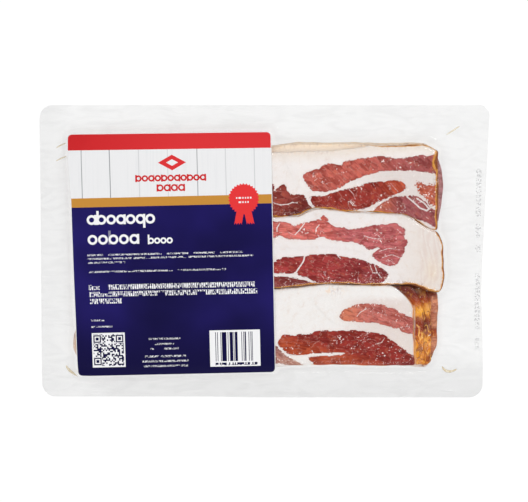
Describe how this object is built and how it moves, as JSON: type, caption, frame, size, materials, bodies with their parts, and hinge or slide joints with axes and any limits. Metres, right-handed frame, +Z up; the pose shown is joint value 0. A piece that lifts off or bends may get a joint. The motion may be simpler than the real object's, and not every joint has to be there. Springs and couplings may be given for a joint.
{
  "type": "bacon pack",
  "caption": "Clear vacuum pouch of streaky bacon lying flat: rows of lapped rashers sealed in film, with a printed label over one half.",
  "frame": {"origin": "on the surface the pack lies on, under the middle of the pouch", "axes": "+X along the rashers, away from the label; +Y across the rows, towards the top of the label; +Z up, out of the label's printed face"},
  "size_m": [0.29, 0.19, 0.0158],
  "materials": {
    "clear_film": "clear glossy vacuum-pouch film, faintly grey, with fine ripples and creases",
    "bacon": "moist cured pork: creamy white fat with dull red lean, fine marbling and a golden smoked edge",
    "printed_label": "satin printed self-adhesive label: red band, white boards, gold line and navy field"
  },
  "bodies": {
    "root": {"pouch": "clear_film", "rashers_upper_row": "bacon", "rashers_middle_row": "bacon", "rashers_lower_row": "bacon", "label": "printed_label"}
  },
  "joints": []
}
